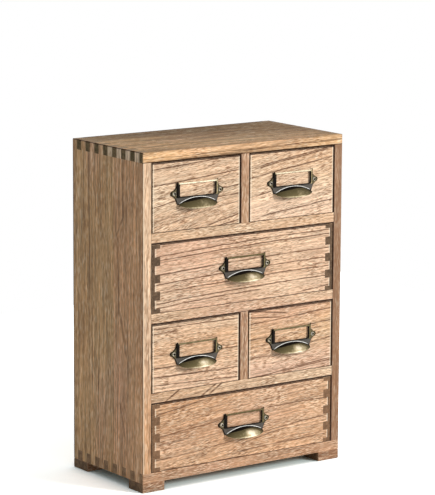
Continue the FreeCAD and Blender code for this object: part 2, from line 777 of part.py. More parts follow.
def pull_cup():
    """The cup: the cap of a hollow bowl, cut off by the drawer's front and by its tilted mouth."""
    shell = doc.addObject("Part::Cut", "CupShell")
    shell.Base = bowl("0")
    shell.Tool = bowl(s("cup_wall"))
    keep = new_body("cup_keep")
    half = s("bowl_width")
    side_view = new_sketch(keep, "YZ_Plane", f"-{half}")
    reach = f"({s('cup_reach')} + {over})"
    add_outline(side_view, [
        ("0", "0"), ("0", f"-{s('cup_corner')}"),
        (f"-{reach}", f"-{s('cup_corner')} - {s('lip_fall')} * {reach}"), (f"-{reach}", "0")])
    pad(keep, side_view, f"2 * {half}")
    return common_of(shell, keep)


def pull_bead():
    """The round-topped bead along the arch where the cup leaves the plate."""
    body = new_body("bead")
    outline = new_sketch(body, "XZ_Plane")
    end, outer, inner = s("cup_half_width"), s("bead_outer"), s("bead_inner")
    add_outline(outline, [
        (end, outer, f"({s('arch_radius')} + {s('bead_radius')})"), (f"-{end}", outer),
        (f"-{end}", inner, f"({s('bead_radius')} - {s('arch_radius')})"), (end, inner)])
    pad(body, outline, s("bead_top"))
    long_edge = value(end)
    ease(body, "Fillet", s("bead_arris"),
         lambda edge: lies_at(edge, f"-{s('bead_top')}") and edge.Length > long_edge)
    return body


def pull():
    whole = doc.addObject("Part::MultiFuse", "Pull")
    whole.Shapes = [pull_plate(), pull_bead(), pull_cup()]
    whole.Refine = True
    return whole


def pull_screws():
    """The two slotted screws of a pull, as one group."""
    body = new_body("screw_pattern")
    body.AllowCompound = True
    profile = new_sketch(body, "XY_Plane", "0", f"-{s('screw_spread')}")
    seat = f"-{s('plate_thickness')}"
    tip = f"{s('screw_bite')} - {s('screw_hole_gap')}"
    crown = f"{seat} - {s('screw_head_height')}"
    add_outline(profile, [
        ("0", tip), ("0", crown, s("screw_head_curve")), (s("screw_head_radius"), seat),
        (s("screw_radius"), seat), (s("screw_radius"), tip)])
    screw = revolve(body, profile)
    slot = new_sketch(body, "XZ_Plane", f"-({crown})")
    add_rectangle(slot, f"-{s('screw_spread')} - {s('screw_head_radius')}", f"-{s('slot_width')} / 2",
                  f"-{s('screw_spread')} + {s('screw_head_radius')}", f"{s('slot_width')} / 2")
    mirror(body, [screw, pocket(body, slot, s("slot_depth"))])
    return body


def build_drawers():
    small, wide = s("small_half"), s("wide_half")
    block = eased_block("wide_block", wide, s("drawer_depth"), "0", s("drawer_height"),
                        "Fillet", s("drawer_arris"), lambda edge: lies_at(edge, "0"))
    small_side = drawer_side("small_side_pattern", small, s("front_lip"), False)
    wide_side = common_of(drawer_side("wide_side_pattern", wide, "0", True), block)
    patterns = {
        "small": {
            "front": small_front(small),
            "left_side": small_side,
            "right_side": other_hand(small_side),
            "rear": drawer_rear("small_rear_pattern", small),
            "base": drawer_base("small_base_pattern", small),
        },
        "wide": {
            "front": common_of(wide_front(wide), block),
            "left_side": wide_side,
            "right_side": other_hand(wide_side),
            "rear": drawer_rear("wide_rear_pattern", wide),
            "base": drawer_base("wide_base_pattern", wide),
        },
    }
    pull_pattern, screw_pattern = pull(), pull_screws()
    drawers = [
        ("top_left", "small", f"-{s('small_centre')}", s("top_floor")),
        ("top_right", "small", s("small_centre"), s("top_floor")),
        ("upper_wide", "wide", "0", s("upper_floor")),
        ("lower_left", "small", f"-{s('small_centre')}", s("lower_floor")),
        ("lower_right", "small", s("small_centre"), s("lower_floor")),
        ("bottom_wide", "wide", "0", s("bottom_floor")),
    ]
    for name, kind, across, floor in drawers:
        underside = f"{floor} + {s('run_gap')}"
        for piece, pattern in patterns[kind].items():
            add_node(f"{name}_{piece}", pattern, across, front, underside)
        screw_line = f"{underside} + {s('pull_height')}"
        add_node(f"{name}_pull", pull_pattern, across, front, screw_line)
        add_node(f"{name}_screws", screw_pattern, across, front, screw_line)


build_case()
build_drawers()
doc.recompute()

for item in doc.Objects:
    if "Invalid" in item.State or "Error" in item.State:
        raise RuntimeError(f"{item.Label} failed: {item.State}")

os.makedirs("parts", exist_ok=True)
for item in nodes:
    if item.Shape.isNull() or not item.Shape.isValid():
        raise RuntimeError(f"{item.Label} has no valid shape")
    item.Shape.exportStep(f"parts/{item.Label}.step")
print(len(nodes), "nodes written")
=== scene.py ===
import math

import bmesh
import bpy
import numpy as np
from mathutils import Matrix, Vector


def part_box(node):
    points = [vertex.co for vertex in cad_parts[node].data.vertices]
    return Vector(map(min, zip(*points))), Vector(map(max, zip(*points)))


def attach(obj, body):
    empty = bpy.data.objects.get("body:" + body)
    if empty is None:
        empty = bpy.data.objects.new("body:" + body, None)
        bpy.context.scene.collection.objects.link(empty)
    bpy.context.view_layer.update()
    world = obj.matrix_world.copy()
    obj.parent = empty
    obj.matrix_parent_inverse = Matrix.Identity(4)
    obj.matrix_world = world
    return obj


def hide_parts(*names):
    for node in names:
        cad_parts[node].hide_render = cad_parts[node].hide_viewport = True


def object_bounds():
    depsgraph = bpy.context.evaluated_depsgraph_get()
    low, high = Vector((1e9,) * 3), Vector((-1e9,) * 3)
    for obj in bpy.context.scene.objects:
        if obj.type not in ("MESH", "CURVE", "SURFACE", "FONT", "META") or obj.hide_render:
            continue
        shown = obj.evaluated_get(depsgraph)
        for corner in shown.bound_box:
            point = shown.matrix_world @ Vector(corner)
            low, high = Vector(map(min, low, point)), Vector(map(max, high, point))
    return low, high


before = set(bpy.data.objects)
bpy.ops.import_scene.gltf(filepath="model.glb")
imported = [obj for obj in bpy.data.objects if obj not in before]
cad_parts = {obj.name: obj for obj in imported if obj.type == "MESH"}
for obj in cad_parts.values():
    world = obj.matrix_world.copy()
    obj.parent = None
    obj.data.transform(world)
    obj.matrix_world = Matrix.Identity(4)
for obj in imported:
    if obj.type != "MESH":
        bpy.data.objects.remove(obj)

cad_box = [list(corner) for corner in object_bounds()]


# The case
# Four boards of paulownia, finger-jointed at the corners, glued and sanded flush, left unvarnished.
# The grain runs upright in the sides and across in the top and the bottom, so the fingers' ends are dark.

X, Y, Z = range(3)
LOW, HIGH = range(2)
CASE_LOW, CASE_HIGH = (np.array(corner) for corner in cad_box)
CASE_LOW[Y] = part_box("left_side")[LOW][Y]
CASE_LOW[Z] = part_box("left_side")[LOW][Z]


class Wire:
    """A socket of a material's nodes. Arithmetic on it adds Math nodes."""

    def __init__(self, tree, socket=None):
        self.tree = tree
        self.socket = socket

    def node(self, kind, settings=None, sockets=None, output=0):
        """Add a node: its settings first, then the value or the link of each of its sockets."""
        made = self.tree.nodes.new("ShaderNode" + kind)
        for name, value in (settings or {}).items():
            setattr(made, name, value)
        for name, value in (sockets or {}).items():
            if isinstance(value, Wire):
                self.tree.links.new(value.socket, made.inputs[name])
            else:
                made.inputs[name].default_value = value
        return Wire(self.tree, made.outputs[output] if made.outputs else None)

    def maths(self, operation, *values):
        return self.node("Math", {"operation": operation}, dict(enumerate(values)))

    def __add__(self, other):
        return self.maths("ADD", self, other)

    def __sub__(self, other):
        return self.maths("SUBTRACT", self, other)

    def __rsub__(self, other):
        return self.maths("SUBTRACT", other, self)

    def __mul__(self, other):
        return self.maths("MULTIPLY", self, other)

    def __truediv__(self, other):
        return self.maths("DIVIDE", self, other)

    __radd__, __rmul__ = __add__, __mul__

    def rise(self, low, high):
        """0 at low, 1 at high, whichever of them is the larger, and a smooth step between them."""
        return self.node("MapRange", {"interpolation_type": "SMOOTHSTEP"},
                         {"Value": self, "From Min": low, "From Max": high})

    def size(self):
        return self.maths("ABSOLUTE", self)

    def parts(self):
        return [self.node("SeparateXYZ", None, {0: self}, axis) for axis in (X, Y, Z)]

    def point(self, *values):
        return self.node("CombineXYZ", None, dict(enumerate(values)))

    def noise(self, place, scale, detail=2.0, roughness=0.5, output="Fac"):
        return self.node("TexNoise", None, {"Vector": place, "Scale": scale, "Detail": detail,
                                            "Roughness": roughness}, output)

    def blend(self, share, first, second):
        """A colour between two colours."""
        return self.node("Mix", {"data_type": "RGBA"}, {0: share, 6: first, 7: second}, 2)

    def scaled(self, colour, amount):
        return self.node("VectorMath", {"operation": "SCALE"}, {0: colour, "Scale": amount})


def tone(red, green, blue):
    """A colour that is written as it looks on a screen, from 0 to 255."""
    share = np.array([red, green, blue]) / 255
    linear = np.where(share <= 0.04045, share / 12.92, ((share + 0.055) / 1.055) ** 2.4)
    return (*linear.tolist(), 1.0)


def bare_nodes(owner):
    """A wire that starts the nodes of a material or a world, which loses those it had."""
    owner.use_nodes = True
    owner.node_tree.nodes.clear()
    return Wire(owner.node_tree)


def new_finish(name):
    """A material without nodes, and the wire that starts them."""
    material = bpy.data.materials.new(name)
    return material, bare_nodes(material)


def end_finish(wire, sockets):
    """End a material's nodes with one shader, whose sockets take plain values or wires."""
    shader = wire.node("BsdfPrincipled", None, sockets)
    wire.node("OutputMaterial", None, {"Surface": shader})


def give(node, material):
    """The CAD node's faces take the material."""
    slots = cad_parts[node].data.materials
    slots.clear()
    slots.append(material)


# The wood's tones: its face, the cut ends of its grain, the lines and flecks in it, a cream that is also a
# painted highlight on the arrises, and two dark browns of painted shade for the gaps and the rims.
PALE, WARM, BLUSH = tone(236, 202, 168), tone(228, 186, 148), tone(226, 178, 154)
END_DARK, END_LIGHT = tone(84, 72, 50), tone(124, 104, 76)
SOFT_DARK, SOFT_LIGHT = tone(142, 116, 88), tone(178, 148, 116)
LINE, FLECK, CREAM_AND_HIGHLIGHT = tone(98, 64, 40), tone(140, 102, 74), tone(255, 238, 212)
# two dark browns that are painted shade: one in the gaps, one on the rims along edges
GAP_SHADE, RIM_SHADE = tone(46, 20, 6), tone(50, 22, 6)

# How fast its patterns change, in waves a metre: across the grain, and along it. The sway and the
# tremble bend whatever follows the grain, the breaks part its lines, and its tone drifts in patches.
SWAY, TREMBLE, PATCH = (11, 4), (60, 45), (26, 5)
BREAK, HAIR, STREAK_ALONG = (240, 70), (560, 20), 5
RING_PACE, END_PACE = 120, 260.0
TREMBLE_REACH = 0.002        # metres that the grain strays by, over a short way
RING_STRAY = 1.1             # ring widths that a ring strays by
LATE_WOOD = (0.72, 0.95)     # the share of a ring's width over which its dark part comes up
LATE_STOP = (0.965, 1.0)     # and the share over which it breaks off
HALF_LINE, LINE_FADE = 0.0011, 0.008    # a figure line's half width, and how long its ends are
EDGE_BLUR, FAR_BLUR = 0.0002, 0.0003    # how soft the two borders of a rim or a bright arris are
SKIN = 0.0015                # a face this near the outside of the case counts as outside


def looks_along(facing, axis):
    """1 on the faces that look along the axis, either way, and 0 on the others."""
    return facing[axis].size().rise(0.5, 0.8)


def shaded_strip(axes, start, stop):
    """1 between two distances behind the case's front, each given as a pair that it changes between: the
    strip of painted shade.
    """
    behind = axes[Y] - float(CASE_LOW[Y])
    return behind.rise(*start) * (1 - behind.rise(*stop))


def inside_the_case(axes, facing):
    """1 on the faces that look into the case, in a strip of painted shade just behind its front, and 0
    elsewhere.
    """
    inner = []
    for axis in (X, Z):
        middle = float(CASE_LOW[axis] + CASE_HIGH[axis]) / 2
        half = float(CASE_HIGH[axis] - CASE_LOW[axis]) / 2
        inner.append(1 - (axes[axis] - middle).size().rise(half - SKIN * 2, half - SKIN))
    return inner[0] * inner[1] * shaded_strip(axes, (0.0001, 0.0005), (0.006, 0.011))


def by_an_edge(axes, facing, box, face, axis, end, start, stop):
    """1 on the faces that look along one axis, between two distances from an edge of the box."""
    inward = axes[axis] - float(box[LOW][axis]) if end == LOW else float(box[HIGH][axis]) - axes[axis]
    near = inward.rise(start - EDGE_BLUR, start + EDGE_BLUR)
    far = inward.rise(stop - FAR_BLUR, stop + FAR_BLUR)
    return near * (1 - far) * looks_along(facing, face)


def wood(node, grain, heart, lean=0.0, ring=0.006, pale=PALE, warm=WARM, rings=0.55, flecks=0.95,
         fibres=0.34, streaks=0.12, cut=(1500, 150), coarse=200, figure=(), mark=0.55, bend=0.0, fan=0.0,
         wander=0.006, ends=(END_DARK, END_LIGHT), gloss=0.25, shadow=None, rims=(), arrises=(),
         stave=None, tint=None, seed=0.0):
    """Bare wood whose grain runs along one axis, for one node.

    A growth ring is where the distance to the heart of the log is a whole number of ring widths, and
    rings says how dark its late part is. lean is the slope of the grain, fan how it grows across the
    board, bend its curve along it, and wander how far it strays.
    figure lists the dark lines that stand out: the height where each crosses the middle, its slope,
    start, stop and, if it isn't the usual one, half width, and mark says how dark they are at least.
    flecks are the short dark and bright dashes of the pores, one over the cut in size, fibres the
    hairlines between them, and streaks the broader stripes along the grain, one over coarse wide.
    rims are lines of painted shade and arrises lines of painted highlight along edges, each a face, an
    axis, an end and two distances. A stave is a second board, glued on past a place on an axis, with its
    own tones. A tint is a colour and a shadow is painted shade, each with a function that says how much of
    it shows where.
    """
    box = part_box(node)
    material, wire = new_finish(node + "_wood")
    place = wire.node("TexCoord", output="Object")
    facing = wire.node("TexCoord", output="Normal").parts()
    axes = place.parts()
    if stave:
        axis, edge, other_pale, other_warm = stave
        past = axes[axis].rise(edge - FAR_BLUR, edge + FAR_BLUR)
        pale, warm = wire.blend(past, pale, other_pale), wire.blend(past, warm, other_warm)
    along = axes[grain]
    across = [axis for axis in (X, Y, Z) if axis != grain]
    side, deep = (axes[axis] for axis in across)
    middle = float(box[LOW][across[1]] + box[HIGH][across[1]]) / 2

    def pattern(first, second, pace, detail, roughness=0.5, output="Fac"):
        """Noise that changes at one pace across the grain and at another along it."""
        spot = wire.point(first * pace[0], second * pace[0], along * pace[1] + seed)
        return wire.noise(spot, 1.0, detail, roughness, output)

    sway = pattern(side, deep, SWAY, 1.0, output="Color").parts()
    tremble = pattern(side, deep, TREMBLE, 2.0, output="Color").parts()
    side = side + (sway[0] - 0.5) * wander + (tremble[0] - 0.5) * TREMBLE_REACH
    deep = deep + (sway[1] - 0.5) * wander + (tremble[1] - 0.5) * TREMBLE_REACH
    curve = along * along * bend
    level = deep - along * ((deep - middle) * fan + lean) - curve

    aside, above = side - heart[0], level - heart[1]
    reach = wire.maths("SQRT", aside * aside + above * above)
    uneven = wire.noise(wire.point(reach * RING_PACE, seed, 0.5), 1.0, 1.0)
    age = reach / ring + (uneven - 0.5) * RING_STRAY
    part = wire.maths("FRACT", age)
    vigour = wire.node("TexWhiteNoise", {"noise_dimensions": "1D"}, {"W": wire.maths("FLOOR", age) + seed})
    late = part.rise(*LATE_WOOD) * (1 - part.rise(*LATE_STOP))
    broken = pattern(side, level, BREAK, 2.0)
    dash = pattern(side, level, cut, 1.0)
    fibre = pattern(side, level, HAIR, 2.0, 0.55)
    streak = pattern(side, level, (coarse, STREAK_ALONG), 3.0, 0.7)
    drift = pattern(side, level, PATCH, 2.0)

    # the dark of the growth rings and of the lines that stand out
    dark = late * (vigour * 0.85 + 0.15) * (broken.rise(0.36, 0.56) * 0.6 + 0.4) * rings
    for height, slope, start, stop, *broad in figure:
        gap = (deep - along * slope - curve - height).size()
        stretch = along.rise(start - LINE_FADE, start) * (1 - along.rise(stop, stop + LINE_FADE))
        half = broad[0] if broad else HALF_LINE
        stroke = (1 - gap.rise(half * 0.2, half)) * stretch * (broken.rise(0.34, 0.5) * 0.4 + mark)
        dark = wire.maths("MAXIMUM", dark, stroke)

    # the face: its tones, its pores in busy and quiet patches, its lines, hairlines and streaks
    colour = wire.blend(drift.rise(0.34, 0.66), pale, warm)
    colour = wire.blend(sway[2].rise(0.5, 0.75) * 0.5, colour, BLUSH)
    if tint:
        colour = wire.blend(tint[1](axes, facing), colour, tint[0])
    busy = (tremble[2].rise(0.38, 0.62) * 0.5 + 0.5) * flecks
    colour = wire.blend(dash.rise(0.5, 0.34) * busy * 0.55, colour, CREAM_AND_HIGHLIGHT)
    colour = wire.blend(dash.rise(0.47, 0.64) * busy, colour, FLECK)
    colour = wire.blend(dark, colour, LINE)
    colour = wire.scaled(colour, (fibre - 0.5) * (fibres * 4) + (streak - 0.5) * (streaks * 4) + 1.0)

    # the cut ends of the grain, then painted highlights on the arrises, and painted shade on the rims and
    # in the gaps
    blotch = wire.noise(place, END_PACE, 3.0, 0.6).rise(0.35, 0.65)
    colour = wire.blend(facing[grain].size().rise(0.55, 0.9), colour, wire.blend(blotch, *ends))
    # painted highlight: a pale cream along the sanded arrises, where light catches them
    for edge in arrises:
        colour = wire.blend(by_an_edge(axes, facing, box, *edge) * 0.55, colour, CREAM_AND_HIGHLIGHT)
    # painted shade: a dark brown line along the edges next to the gaps and along the back edges
    for edge in rims:
        colour = wire.blend(by_an_edge(axes, facing, box, *edge) * 0.97, colour, RIM_SHADE)
    # painted shade in the gaps round the drawers and just inside the case's front
    if shadow:
        colour = wire.blend(shadow(axes, facing) * 0.95, colour, GAP_SHADE)
    height = dash * 0.5 + fibre * 0.3 - dark * 0.4
    bump = wire.node("Bump", None, {"Strength": 0.4, "Distance": 0.0006, "Height": height})
    end_finish(wire, {"Base Color": colour, "Roughness": 0.66 - late * 0.06 + dash * 0.08,
                      "Specular IOR Level": gloss, "Normal": bump})
    return material


def board(node, grain, heart, **looks):
    """Give a node a wood of its own."""
    give(node, wood(node, grain, heart, **looks))


def bare_fingers(axes, facing):
    """0.5 on the left side's own fingers near the front and up to 0.3 on its front edge, both paler."""
    upper = axes[Z].rise(0.3878, 0.3884) * (1 - axes[Y].rise(-0.01, 0.03))
    front_edge = looks_along(facing, Y) * axes[Z].rise(0.06, 0.18)
    return upper.maths("MAXIMUM", upper * 0.5, front_edge * 0.3)


def towards_the_back(axes, facing):
    """On the upper face, from 0.14 near the front to 0.9 at the back and the right, where it is darker."""
    return ((axes[X] * 0.25 + axes[Y]).rise(-0.04, 0.06) * 0.76 + 0.14) * looks_along(facing, Z)


FRONT_RIM, THIN_RIM = (0.0, 0.0009), (0.0, 0.0003)

board("left_side", Z, (-0.1485, 0.02), ring=0.007, pale=tone(216, 168, 126), warm=tone(204, 152, 110),
      rings=0.5, flecks=0.55, fibres=0.42, streaks=0.45, cut=(620, 110), mark=0.2, seed=3.1,
      stave=(Y, -0.007, tone(208, 166, 120), tone(194, 149, 104)), tint=(CREAM_AND_HIGHLIGHT, bare_fingers),
      figure=((-0.0274, 0, 0.322, 0.392, 0.004), (0.1766, -0.635, 0.300, 0.316, 0.003),
              (-0.0149, 0, 0.207, 0.292, 0.003), (-0.0737, 0.265, 0.160, 0.205, 0.003),
              (-0.0468, 0.288, 0.062, 0.098, 0.003), (0.0434, 0.005, 0.02, 0.39, 0.0018),
              (0.0359, 0.019, 0.03, 0.26), (0.0396, 0.05, 0.30, 0.36)),
      ends=(SOFT_DARK, SOFT_LIGHT), shadow=inside_the_case, arrises=((Y, X, LOW, 0.0006, 0.002),),
      rims=((X, Y, HIGH, 0.0, 0.002), (X, Y, LOW, 0.0, 0.0006), (X, Z, HIGH, 0.0, 0.001),
            (Y, X, HIGH, *THIN_RIM)))
board("right_side", Z, (0.16, 0.02), lean=0.02, pale=tone(172, 135, 106), warm=tone(154, 115, 86),
      rings=0.4, flecks=0.4, fibres=0.24, streaks=0.2, cut=(1000, 120), seed=8.3,
      ends=(SOFT_DARK, SOFT_LIGHT), shadow=inside_the_case,
      rims=((Y, X, LOW, *FRONT_RIM), (Z, X, HIGH, 0.0, 0.001)))
board("top_board", X, (0.45, 0.62), lean=0.02, ring=0.016, pale=tone(240, 200, 156),
      warm=tone(228, 182, 134), rings=0.9, flecks=0.8, fibres=0.3, streaks=0.48, cut=(1200, 120),
      coarse=75, seed=5.7, gloss=0.08, tint=(tone(112, 84, 44), towards_the_back),
      figure=((0.3938, 0.008, -0.14, 0.14, 0.0005), (0.3918, 0.016, -0.09, 0.14, 0.0005),
              (0.3900, 0.008, -0.14, 0.02, 0.0005), (0.3925, 0.020, 0.0, 0.13, 0.0005)),
      shadow=inside_the_case,
      rims=((Y, Z, LOW, *FRONT_RIM), (Z, Y, HIGH, 0.0, 0.0035), (Z, X, LOW, 0.0, 0.0014),
            (Z, X, HIGH, 0.0, 0.0014), (X, Z, HIGH, 0.0, 0.001)))
board("bottom_board", X, (0.05, -0.1), lean=0.02, pale=tone(208, 164, 130), warm=tone(186, 140, 106),
      seed=1.9, ends=(tone(120, 92, 66), tone(152, 120, 90)), shadow=inside_the_case)


# The shelves and the dividers
# Three boards housed in the sides part the case into four rows, and short uprights halve the first
# and the third row from the top. Only their front edges show while the drawers are shut.

SHELVES = {
    "shelf_upper": (),
    "shelf_middle": (),
    "shelf_lower": ((0.1345, 0.55, -0.045, -0.008, 0.002), (0.1395, 0.55, -0.058, -0.018, 0.002),
                    (0.172, 0.58, -0.118, -0.096, 0.0018)),
}
for index, (shelf, figure) in enumerate(SHELVES.items()):
    board(shelf, X, (-0.02, 0.02 + 0.13 * index), lean=0.03, seed=index + 2.2, figure=figure,
          shadow=inside_the_case, rims=((Y, Z, LOW, *FRONT_RIM),))
for index, post in enumerate(("divider_upper", "divider_lower")):
    board(post, Z, (0.05, 0.08), lean=0.01, ring=0.004, pale=tone(206, 166, 132), warm=tone(184, 142, 108),
          fibres=0.2, streaks=0.15, cut=(1200, 120), seed=index + 4.4, shadow=inside_the_case,
          rims=((Y, X, LOW, *FRONT_RIM), (Y, X, HIGH, *THIN_RIM)))


# The feet
# Four small blocks of the same wood, glued on under the corners with their grain across the case.

for index, foot in enumerate(("front_left", "front_right", "back_left", "back_right")):
    board("foot_" + foot, X, (0.1, 0.06), lean=0.1, ring=0.005, pale=tone(184, 138, 104),
          warm=tone(146, 102, 72), streaks=0.24, seed=index + 6.5,
          ends=(tone(80, 58, 38), tone(118, 92, 66)))


# The back
# A thin panel in a rebate round the case's back, held by twelve steel pins with flat heads.

board("back_panel", Z, (0.1, 0.5), lean=0.02, ring=0.008, flecks=0.5, streaks=0.16, cut=(1200, 90),
      seed=2.7, shadow=inside_the_case)

steel, wire = new_finish("pin_steel")
rust = wire.noise(wire.node("TexCoord", output="Object"), 700.0, 3.0, 0.6)
steel_tone = wire.blend(rust.rise(0.45, 0.7), tone(176, 176, 172), tone(122, 108, 94))
end_finish(wire, {"Base Color": steel_tone, "Roughness": rust * 0.4 + 0.25, "Metallic": 1.0})
give("back_nails", steel)


# The drawers
# Six boxes of the same wood. The small ones have a plain front that laps their sides, and the wide
# ones are finger-jointed at the front, so their sides' end grain shows as dark squares.

def below(low, high):
    """A function for a tint: 0.6 under one height, 0 above another."""
    return lambda axes, facing: (1 - axes[Z].rise(low, high)) * 0.6


FRONTS = {
    "top_left": dict(
        heart=(-0.06, 0.62), lean=0.13, fan=-2.1, pale=tone(242, 210, 177), warm=tone(236, 197, 162),
        tint=(tone(224, 184, 150), below(0.320, 0.335)),
        figure=((0.3879, 0.061, -0.14, 0.0), (0.3709, 0.081, -0.14, 0.0), (0.3541, 0.117, -0.04, 0.0),
                (0.3438, 0.086, -0.04, 0.0), (0.3588, 0.193, -0.14, -0.10), (0.3210, 0.253, -0.05, 0.0),
                (0.3131, 0.178, -0.065, 0.0))),
    "top_right": dict(
        heart=(-0.06, 0.62), lean=0.132, pale=tone(240, 206, 172), warm=tone(232, 188, 148),
        tint=(tone(255, 219, 192), below(0.315, 0.350)),
        figure=((0.3689, 0.132, 0.0, 0.14), (0.3670, 0.136, 0.02, 0.12), (0.3575, 0.131, 0.0, 0.14),
                (0.3086, 0.114, 0.03, 0.13), (0.3345, 0.155, 0.0, 0.035))),
    "upper_wide": dict(
        heart=(-0.06, 0.62), lean=0.034, bend=-0.12, wander=0.003, pale=tone(242, 206, 174),
        warm=tone(236, 192, 156), ends=(tone(84, 64, 46), tone(114, 90, 68)),
        figure=((0.2838, 0.034, -0.14, 0.14), (0.2786, 0.034, -0.14, 0.14), (0.2617, 0.034, -0.14, 0.14),
                (0.2502, 0.034, -0.14, 0.14), (0.2398, 0.034, -0.14, 0.14), (0.2279, 0.034, -0.14, 0.14),
                (0.2232, 0.034, -0.14, 0.02), (0.2057, 0.114, 0.09, 0.14))),
    "lower_left": dict(
        heart=(-0.05, 0.46), lean=0.01, pale=tone(242, 206, 172), warm=tone(234, 188, 148),
        tint=(tone(251, 209, 177), below(0.125, 0.165)),
        figure=((0.1928, 0.001, -0.14, 0.0), (0.1910, 0.034, -0.14, -0.1), (0.1461, -0.003, -0.14, -0.09),
                (0.1345, -0.014, -0.14, 0.0), (0.1230, -0.031, -0.14, 0.0), (0.1586, -0.02, -0.04, 0.0))),
    "lower_right": dict(
        heart=(-0.05, 0.46), lean=0.06, pale=tone(236, 198, 158), warm=tone(224, 176, 132),
        tint=(tone(235, 192, 172), below(0.125, 0.165)),
        figure=((0.1820, 0.048, 0.0, 0.14), (0.1912, -0.088, 0.0, 0.05), (0.1659, 0.061, 0.09, 0.14),
                (0.1408, 0.1, 0.09, 0.14), (0.1198, 0.063, 0.06, 0.14), (0.1187, 0.057, 0.0, 0.14),
                (0.1422, 0.038, 0.0, 0.035), (0.1636, 0.03, 0.0, 0.03), (0.1989, -0.134, 0.0, 0.06))),
    "bottom_wide": dict(
        heart=(0.02, -0.18), lean=0.07, wander=0.014, mark=0.4, flecks=1.0, streaks=0.26,
        pale=tone(222, 178, 140), warm=tone(206, 154, 112), tint=(tone(233, 187, 148), below(0.035, 0.070)),
        figure=((0.1109, 0.154, -0.14, -0.07), (0.0746, 0.075, -0.14, -0.03), (0.0437, 0.05, -0.14, -0.02),
                (0.0430, 0.11, 0.0, 0.14), (0.0379, 0.144, 0.0, 0.06), (0.0293, 0.031, 0.0, 0.14),
                (0.0768, 0.008, 0.04, 0.14), (0.0232, -0.028, -0.14, 0.0))),
}


def in_the_gap(axes, facing):
    """1 round the edges of a drawer's front, just behind its face, where painted shade darkens the gap."""
    round_the_edge = 1 - facing[Y].size().rise(0.4, 0.7)
    return round_the_edge * shaded_strip(axes, (0.0003, 0.001), (0.004, 0.008))


DARK_FINGERS = (tone(82, 62, 44), tone(114, 90, 68))
BROWN_FINGERS = (tone(112, 82, 58), tone(140, 106, 78))
FRONT_ARRIS = (0.0009, 0.0022)

for index, (drawer, looks) in enumerate(FRONTS.items()):
    board(f"{drawer}_front", X, ring=0.0065, seed=index * 1.7, shadow=in_the_gap, **looks,
          rims=((Y, Z, HIGH, 0.0, 0.0013), (Y, Z, LOW, 0.0, 0.0005), (Y, X, LOW, *THIN_RIM),
                (Y, X, HIGH, *FRONT_RIM)),
          arrises=((Y, X, LOW, *FRONT_ARRIS), (Y, X, HIGH, *FRONT_ARRIS)))
    beside = wood(f"{drawer}_left_side", Y, (0.2, 0.1), lean=0.03, seed=index * 2.3, shadow=in_the_gap,
                  ends=BROWN_FINGERS if drawer == "bottom_wide" else DARK_FINGERS)
    across = wood(f"{drawer}_rear", X, (0.2, 0.1), lean=0.03, seed=index)
    for part, finish in (("left_side", beside), ("right_side", beside), ("rear", across), ("base", across)):
        give(f"{drawer}_{part}", finish)


# The pulls
# Cup pulls of cast brass, browned, then rubbed bright where hands and cloths reach, with painted
# highlights, painted reflections and painted shade in their colour. Each has a plate with two screwed ears,
# a raised frame with a slot for a card, and a hollow cup under a thin bead.

# Lengths in metres. Pairs are a place across and up from the pull's middle, and heights are over the
# drawer's front.
PLATE = 0.0013
EDGE = 0.0004
SLOT_LOW, SLOT_HIGH = (-0.0269, -0.0046), (0.0269, 0.0122)
SHOULDER = 0.0288
EAR_MIDDLE, EAR_RADIUS, EAR_HOLLOW = (0.0343, 0), 0.0029, 0.011
EAR_NECK = (0.0353863, 0.0026)
WAIST, PLATE_CORNER = (0.0302, -0.0070), (0.0276, -0.0134)
FRAME_BACK, FRAME_TOP = 0.0016, 0.0028
WINDOW_HALF, WINDOW_LOW, WINDOW_HIGH, WINDOW_CORNER = 0.0252, -0.004, 0.0104, 0.0016
FRAME_CORNER, FRAME_ROUND = (0.0280, -0.0044), 0.0008
HORN = ((0.02868, 0.0090), (0.02865, 0.0118), (0.0286, 0.0138), (0.0276, 0.0127), (0.0266, 0.0122))
CUP_HALF, CUP_CORNER, CUP_CROWN = 0.026, 0.0124, 0.0059
CUP_LIP, CUP_REACH, CUP_WALL, BOWL_HEIGHT = 0.0172, 0.0132, 0.001, 0.030
CUP_ROWS, CUP_COLUMNS, LIP_ROWS = 22, 61, 5
BEAD, BEAD_POINT, BEAD_COVER = 0.0007, 0.00005, 0.0005
SCREW_SPREAD, SCREW_RADIUS, SCREW_HEIGHT = 0.0322, 0.0024, 0.0015
SCREW_SLOT, SCREW_RIM, SCREW_SUNK = 0.0007, 0.0001, 0.0003
ARCH_RISE = CUP_CORNER - CUP_CROWN
ARCH_RADIUS = (CUP_HALF ** 2 + ARCH_RISE ** 2) / (2 * ARCH_RISE)
ARCH_HALF = math.degrees(math.asin(CUP_HALF / ARCH_RADIUS))


def ramp(value, start, stop):
    """0 at start, 1 at stop, a straight rise between them, and level beyond both."""
    return np.clip((value - start) / (stop - start), 0, 1)


def stacked(*columns):
    """One grid of points from its columns, each of which may be a number, a row or a grid."""
    return np.stack(np.broadcast_arrays(*columns), axis=2)


def arc(centre, radius, first, last, count):
    """Points of a round arc in the plane of the plate, between two angles in degrees."""
    angle = np.radians(np.linspace(first, last, count))
    return np.stack([centre[0] + radius * np.cos(angle), centre[1] + radius * np.sin(angle)], axis=1)


def run(start, end, count):
    """Points of a straight run, without its two ends."""
    share = np.linspace(0, 1, count + 2)[1:-1, None]
    return np.array(start) * (1 - share) + np.array(end) * share


def hollow(start, end, radius, count):
    """Points of a shallow arc from start to end whose centre lies to the left of the way between them."""
    start, end = np.array(start), np.array(end)
    way = end - start
    half = np.linalg.norm(way) / 2
    normal = np.array([-way[1], way[0]]) / (2 * half)
    centre = (start + end) / 2 + normal * math.sqrt(radius ** 2 - half ** 2)
    first = np.degrees(np.arctan2(*(start - centre)[::-1]))
    last = np.degrees(np.arctan2(*(end - centre)[::-1]))
    turn = (last - first + 180) % 360 - 180
    return arc(centre, radius, first, first + turn, count)


def mirrored(right):
    """A line over both halves of the plate, from the points of its right half, which end on the left."""
    return np.concatenate([right, (right * [-1, 1])[::-1]])


